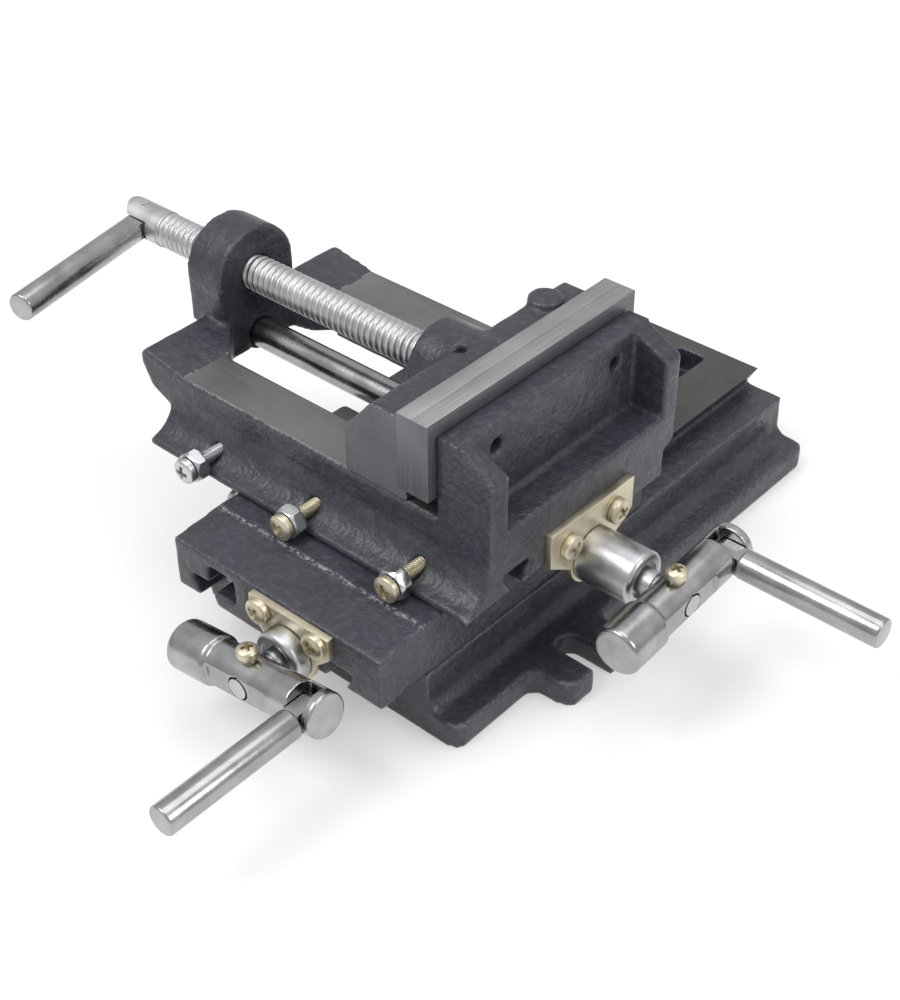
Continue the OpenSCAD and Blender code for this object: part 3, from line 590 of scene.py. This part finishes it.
def pan_head(diameter, height):
    """A pan head with a cross recess. Its seat is at the origin and it stands along -Z."""
    r = diameter / 2
    wall, crown = 0.55, 0.45
    rise = [(r * math.cos(t), -height * (wall + crown * math.sin(t)))
            for t in np.radians(range(0, 90, 10))]
    rim = [(0.96 * r, 0), (r, -0.06 * height)]
    mesh = lathe([(0, 0)] + rim + rise + [(0, -height)])
    arm, wide = 0.68 * r, 0.2 * r
    quarter = [(arm, -wide), (arm, wide), (wide, wide)]
    outline = []
    for _ in range(4):
        outline += quarter
        quarter = [(-y, x) for x, y in quarter]
    above, below, taper = -1.3 * height, -0.35 * height, 0.55
    return carved(mesh, prism(outline, (above, 1.0), (below, taper)))


def hex_nut(flats, height, bore):
    """A chamfered hexagon nut along +Z from the origin."""
    corner = flats / math.sqrt(3)
    inner, outer, chamfer = 0.97 * flats / 2, 1.03 * corner, 0.32 * height
    dome = lathe([(0, 0), (inner, 0), (outer, chamfer), (outer, height - chamfer), (inner, height),
                  (0, height)], 48)
    mesh = carved(rod(corner, 0, height, 6), dome, "INTERSECT")
    return carved(mesh, rod(bore / 2, -height, 2 * height, 32))


HEAD = pan_head(HEAD_D, HEAD_H)
SET_HEAD = pan_head(SET_HEAD_D, HEAD_H)
NUT = hex_nut(NUT_AF, NUT_H, NUT_BORE)
SPIN_STEP = 0.7
NUT_SPIN, HEAD_SPIN = 0.4, 0.5


def gib_fasteners(slide, body, direction):
    """Gib screws and their lock nuts on one slide, pointing into the casting."""
    k = direction.index(1)
    row = 1 - k
    screws, nuts = slide + "_gib_screws", slide + "_gib_nuts"
    boxes = islands(screws)
    parts = []
    for i, (low, high) in enumerate(boxes):
        start = (low + high) / 2
        start[k] = low[k] + HEAD_H
        bar = thread(high[k] - start[k], GIB_D, GIB_PITCH, GIB_DEPTH, 8, 24)
        parts += [(bar, facing(direction, start)), (HEAD, facing(direction, start, SPIN_STEP * i))]
    piece = merged(screws + "_piece", parts, "yellow")
    piece.data.materials.append(MATERIALS["zinc"])
    for face in piece.data.polygons:
        face.material_index = int(face.center[row] < boxes[0][1][row])
    stand(piece, body, screws)
    parts = []
    for i, (low, high) in enumerate(islands(nuts)):
        place = (low + high) / 2
        place[k] = low[k]
        parts.append((NUT, facing(direction, place, NUT_SPIN + SPIN_STEP * i)))
    stand(merged(nuts + "_piece", parts, "zinc"), body, nuts)


def headed_screws(node, body, direction, head=HEAD):
    """Pan head screws of a node, pointing along a direction."""
    k = max(range(3), key=lambda i: abs(direction[i]))
    parts = []
    for i, (low, high) in enumerate(islands(node)):
        head_end, tip = (low, high) if direction[k] > 0 else (high, low)
        seat = (low + high) / 2
        seat[k] = head_end[k] + HEAD_H * direction[k]
        shank = rod(SHANK_D / 2, 0, abs(tip[k] - seat[k]), 24)
        spin = HEAD_SPIN + SPIN_STEP * i
        parts += [(head, facing(direction, seat, spin)), (shank, facing(direction, seat))]
    stand(merged(node + "_piece", parts, "yellow"), body, node)


def vise_screw():
    """The vise screw: the node's own fork and end, with a thread between them."""
    x0 = middle("handle_pin").x + FORK_L
    x1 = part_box("movable_jaw")[0].x + SCREW_IN_JAW
    rest = welded_copy("vise_screw")
    with edited(rest) as bm:
        for x in (x0, x1):
            whole = bm.verts[:] + bm.edges[:] + bm.faces[:]
            bmesh.ops.bisect_plane(bm, geom=whole, plane_co=(x, 0, 0), plane_no=(1, 0, 0))
        gone = [f for f in bm.faces if x0 < f.calc_center_median().x < x1]
        bmesh.ops.delete(bm, geom=gone, context="FACES")
        bmesh.ops.holes_fill(bm, edges=bm.edges)
    ridges = thread(x1 - x0, SCREW_D, SCREW_PITCH, SCREW_DEPTH)
    place = facing((1, 0, 0), Vector((x0, VISE_Y, SCREW_Z)))
    piece = merged("vise_screw_piece", [(rest, Matrix.Identity(4)), (ridges, place)], "thread")
    stand(piece, "jaw_screw", "vise_screw")


# Cranks and handles

ALONG_X = Matrix.Rotation(math.pi / 2, 4, "Y")
ARM_D, ARM_END_D, ARM_FACE = 15 * MM, 17 * MM, 6.5 * MM
ARM_EASE, ARM_END_EASE, ARM_OVERLAP = 1.0 * MM, 1.6 * MM, 2 * MM
ARM_VOXEL, ARM_ROUNDS = 0.33 * MM, 4
FLAT_BACK, FLAT_FRONT = 14 * MM, 12 * MM
FORK_SLOT, TONGUE_W = 7 * MM, 7 * MM
SLOT_ROOM, TONGUE_ROOM, STEM_ROOM = 0.8 * MM, 0.4 * MM, 0.5 * MM
HANDLE_D, HANDLE_EASE, HANDLE_GAP = 10 * MM, 0.8 * MM, 0.5 * MM
LEVER_START, LEVER_EYE, LEVER_TIP_POINTS = 9.25 * MM, 4 * MM, 12
EYE_SIDES = 40
COLLAR_EASE, COLLAR_FOOT_EASE, COLLAR_LIP = 1.8 * MM, 0.4 * MM, 0.3 * MM
COLLAR_RIM, COLLAR_CUP = 3.2 * MM, 2 * MM


def crank_mesh(back, front, throw):
    """A crank arm along X: plain end, flats about the screw, fork for the handle."""
    plain = bar_mesh(ARM_END_D, back - FLAT_BACK, ARM_END_EASE)
    plain.transform(Matrix.Translation((-back, 0, 0)) @ ALONG_X)
    shaft = bar_mesh(ARM_D, FLAT_BACK + front + ARM_OVERLAP, ARM_EASE)
    shaft.transform(Matrix.Translation((-FLAT_BACK - ARM_OVERLAP, 0, 0)) @ ALONG_X)
    for low in (ARM_FACE, -ARM_FACE - ARM_D):
        shaft = carved(shaft, block((-FLAT_BACK, -ARM_D, low), (FLAT_FRONT, ARM_D, low + ARM_D)))
    half, floor_z = FORK_SLOT / 2, -TONGUE_W / 2 - SLOT_ROOM
    shaft = carved(shaft, block((throw - half, -ARM_D, floor_z), (throw + half, ARM_D, ARM_D)))
    shaft = carved(shaft, rod(STEM_D / 2 + STEM_ROOM, -ARM_D, ARM_D, 48))
    return carved(shaft, plain, "UNION")


def crank(axis, outward):
    """Arm, handle and collar of one crank. Outward is the screw's direction away from the slide."""
    k = max(range(3), key=lambda i: abs(outward[i]))
    out = Vector(outward)
    centre = middle(axis + "_collar")
    centre[k] = middle(axis + "_crank_arm")[k]
    along = middle(axis + "_handle_pin") - centre
    along[k] = 0
    along.normalize()
    turn = Matrix((along, out.cross(along), out)).transposed().to_4x4()
    place = Matrix.Translation(centre) @ turn
    reach = (vertex_rows(NODES[axis + "_crank_arm"].data, "co") - np.array(centre)) @ np.array(along)
    handle = vertex_rows(NODES[axis + "_handle"].data, "co") - np.array(centre)
    throw = float((handle @ np.array(along)).mean())
    far = float((handle @ np.array(out)).max())
    arm = new_object(axis + "_crank_arm_piece", crank_mesh(-reach.min(), reach.max(), throw))
    soft_skin(arm, ARM_VOXEL, ARM_ROUNDS, "bright")
    arm.matrix_world = place
    stand(arm, axis + "_crank", axis + "_crank_arm")
    start = ARM_D / 2 + HANDLE_GAP
    bar = bar_mesh(HANDLE_D, far - start, HANDLE_EASE)
    bar.transform(Matrix.Translation((throw, 0, start)))
    half = FORK_SLOT / 2 - TONGUE_ROOM
    tongue = block((throw - half, -TONGUE_W / 2, 0), (throw + half, TONGUE_W / 2, start + MM))
    eye = rod(TONGUE_W / 2, -half, half, EYE_SIDES)
    eye.transform(Matrix.Translation((throw, 0, 0)) @ ALONG_X)
    piece = merged(axis + "_handle_piece", [(part, place) for part in (bar, tongue, eye)], "bright")
    stand(piece, axis + "_crank_handle", axis + "_handle")
    collar(axis, out, k)


def collar(axis, out, k):
    """A cupped thrust collar with an eased rim."""
    low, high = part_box(axis + "_collar")
    length = high[k] - low[k]
    r = (high.z - low.z) / 2
    start = (low + high) / 2
    start[k] = low[k] if out[k] > 0 else high[k]
    inner = r - COLLAR_RIM
    rims = rounded(r, 0, COLLAR_FOOT_EASE, -1) + rounded(r, length, COLLAR_EASE, 1)
    cup = [(inner + COLLAR_LIP, length), (inner, length - COLLAR_LIP), (inner, length - COLLAR_CUP),
           (0, length - COLLAR_CUP)]
    turned = lathe([(0, 0)] + rims + cup, 64)
    piece = merged(axis + "_collar_piece", [(turned, facing(out, start))], "satin")
    stand(piece, axis + "_crank", axis + "_collar")


def vise_lever():
    """The vise handle: a turned bar with a flat tongue in the screw's fork."""
    pin, up = middle("handle_pin"), Vector((0, 0, 1))
    pivot = Vector((pin.x, pin.y, SCREW_Z))
    points = vertex_rows(NODES["vise_handle"].data, "co") - np.array(pivot)
    tips = np.argsort(np.hypot(points[:, 0], points[:, 1]))[-LEVER_TIP_POINTS:]
    tip = points[tips].mean(0)
    along = Vector((tip[0], tip[1], 0)).normalized()
    length = float((points @ np.array(along)).max())
    turn = Matrix((along, up.cross(along), up)).transposed().to_4x4()
    place = Matrix.Translation(pivot) @ turn
    bar = bar_mesh(HANDLE_D, length - LEVER_START, HANDLE_EASE)
    bar.transform(Matrix.Translation((LEVER_START, 0, 0)) @ ALONG_X)
    half = FORK_SLOT / 2 - TONGUE_ROOM
    tongue = block((0, -LEVER_EYE, -half), (LEVER_START + MM, LEVER_EYE, half))
    eye = rod(LEVER_EYE, -half, half, EYE_SIDES)
    piece = merged("vise_handle_piece", [(part, place) for part in (bar, tongue, eye)], "bright")
    stand(piece, "jaw_handle", "vise_handle")


BRACKET_EASE, PLATE_EASE = 0.5 * MM, 0.35 * MM
SQUARE_ON = 0.9


def jaw_plate(node, body, back):
    """A jaw plate whose ends take the darker end finish and whose back is painted darker as shade
    from the gap against the casting. Back is the X direction of its back.
    """
    plate = eased(node, body, "jaw", PLATE_EASE).data
    plate.materials.append(MATERIALS["end"])
    for face in plate.polygons:
        # On the back faces the end finish is painted shade; on the Y ends it is their own end finish
        dark = abs(face.normal.y) > SQUARE_ON or back * face.normal.x > SQUARE_ON
        face.material_index = int(dark)


def fittings():
    gib_fasteners("y", "saddle", (1, 0, 0))
    gib_fasteners("x", "vise", (0, 1, 0))
    headed_screws("y_bracket_screws", "saddle", (0, 1, 0))
    headed_screws("x_bracket_screws", "vise", (-1, 0, 0))
    headed_screws("y_crank_set_screw", "y_crank", (0, 0, -1), SET_HEAD)
    headed_screws("x_crank_set_screw", "x_crank", (0, 0, -1), SET_HEAD)
    vise_screw()
    for axis, body, outward in (("x", "vise", (1, 0, 0)), ("y", "saddle", (0, -1, 0))):
        crank(axis, outward)
        eased(axis + "_bracket_plate", body, "yellow", BRACKET_EASE)
    vise_lever()
    jaw_plate("fixed_jaw_plate", "vise", 1)
    jaw_plate("movable_jaw_plate", "sliding_jaw", -1)


# Nodes that show as they are, by finish
CARRIED_OVER = {
    "bright": ("guide_rod",),
    "satin": ("x_lead_screw", "y_lead_screw", "x_handle_pin", "y_handle_pin"),
    "zinc": ("handle_pin", "y_nut_screw"),
    "rail": ("x_gib", "y_gib"),
    "bronze": ("x_nut", "y_nut"),
    # Near-black painted shade: these show as dark holes
    "hole": ("fixed_jaw_screws", "movable_jaw_screws", "screw_retaining_pin"),
}


def carried_over():
    for finish, nodes in CARRIED_OVER.items():
        for node in nodes:
            for slot in NODES[node].material_slots:
                slot.material = MATERIALS[finish]


# Stage

FLOOR_HALF = 40.0
FLOOR_COLOR, FLOOR_ROUGH, FLOOR_GLOW = (0.93, 0.93, 0.93, 1), 0.9, 0.35
HORIZON, CEILING = 0.55, 0.75
HORIZON_Z, CEILING_Z = 0.1, 0.7
# Name, place, target, size and power of each lamp
LAMPS = (
    ("key", (-0.5, -0.9, 1.5), (0, 0, 0.05), 0.9, 13),
    ("side", (1.3, 0.2, 1.0), (0, 0, 0.05), 0.7, 6),
    ("top", (0.0, 0.3, 1.7), (0, 0, 0), 1.2, 6),
)


def floor():
    """A pale floor that keeps the shadow and shows a little brighter than it is lit."""
    half = FLOOR_HALF
    corners = [(-half, -half, 0), (half, -half, 0), (half, half, 0), (-half, half, 0)]
    mesh = bpy.data.meshes.new("floor")
    mesh.from_pydata(corners, [], [(0, 1, 2, 3)])
    obj = bpy.data.objects.new("floor", mesh)
    bpy.context.scene.collection.objects.link(obj)
    material = bpy.data.materials.new("pale_floor")
    material.use_nodes = True
    nodes, links = material.node_tree.nodes, material.node_tree.links
    shader = nodes["Principled BSDF"]
    shader.inputs["Base Color"].default_value = FLOOR_COLOR
    shader.inputs["Roughness"].default_value = FLOOR_ROUGH
    glow = nodes.new("ShaderNodeEmission")
    path = nodes.new("ShaderNodeLightPath")
    seen = path.outputs["Is Camera Ray"]
    for kind in ("Is Glossy Ray", "Is Transmission Ray"):
        either = nodes.new("ShaderNodeMath")
        either.operation = "MAXIMUM"
        links.new(seen, either.inputs[0])
        links.new(path.outputs[kind], either.inputs[1])
        seen = either.outputs["Value"]
    share = nodes.new("ShaderNodeMath")
    share.operation = "MULTIPLY"
    share.inputs[1].default_value = FLOOR_GLOW
    mix = nodes.new("ShaderNodeMixShader")
    links.new(seen, share.inputs[0])
    links.new(share.outputs["Value"], mix.inputs["Fac"])
    links.new(shader.outputs["BSDF"], mix.inputs[1])
    links.new(glow.outputs["Emission"], mix.inputs[2])
    links.new(mix.outputs["Shader"], nodes["Material Output"].inputs["Surface"])
    mesh.materials.append(material)


def lamp(name, place, target, size, power):
    """A round soft lamp at a place, turned to a target."""
    light = bpy.data.lights.new(name, "AREA")
    light.shape = "DISK"
    light.size = size
    light.energy = power
    obj = bpy.data.objects.new(name, light)
    obj.location = place
    obj.rotation_euler = (Vector(target) - Vector(place)).to_track_quat("-Z", "Y").to_euler()
    bpy.context.scene.collection.objects.link(obj)


def world():
    """A plain grey studio with a brighter ceiling."""
    sky = bpy.data.worlds.new("studio")
    sky.use_nodes = True
    nodes, links = sky.node_tree.nodes, sky.node_tree.links
    coord = nodes.new("ShaderNodeTexCoord")
    split = nodes.new("ShaderNodeSeparateXYZ")
    ramp = nodes.new("ShaderNodeValToRGB")
    levels = ((HORIZON_Z, HORIZON), (CEILING_Z, CEILING))
    for stop, (place, grey) in zip(ramp.color_ramp.elements, levels):
        stop.position = place
        stop.color = (grey, grey, grey, 1)
    links.new(coord.outputs["Generated"], split.inputs["Vector"])
    links.new(split.outputs["Z"], ramp.inputs["Fac"])
    links.new(ramp.outputs["Color"], nodes["Background"].inputs["Color"])
    bpy.context.scene.world = sky


def camera():
    data = bpy.data.cameras.new("camera")
    data.sensor_fit = "HORIZONTAL"
    data.sensor_width = SENSOR
    data.lens = CAMERA_LENS
    data.clip_start = CAMERA_NEAR
    az, el = CAMERA_AZIMUTH, CAMERA_ELEVATION
    back = Vector((math.sin(az) * math.cos(el), -math.cos(az) * math.cos(el), math.sin(el)))
    side = Vector((math.cos(az), math.sin(az), 0))
    up = back.cross(side)
    turn = Matrix((side, up, back)).transposed().to_4x4() @ Matrix.Rotation(CAMERA_ROLL, 4, "Z")
    obj = bpy.data.objects.new("camera", data)
    obj.matrix_world = Matrix.Translation(CAMERA_PLACE) @ turn
    bpy.context.scene.collection.objects.link(obj)
    bpy.context.scene.camera = obj


castings()
fittings()
carried_over()
floor()
world()
camera()
for settings in LAMPS:
    lamp(*settings)
bpy.context.scene.view_settings.view_transform = "Standard"
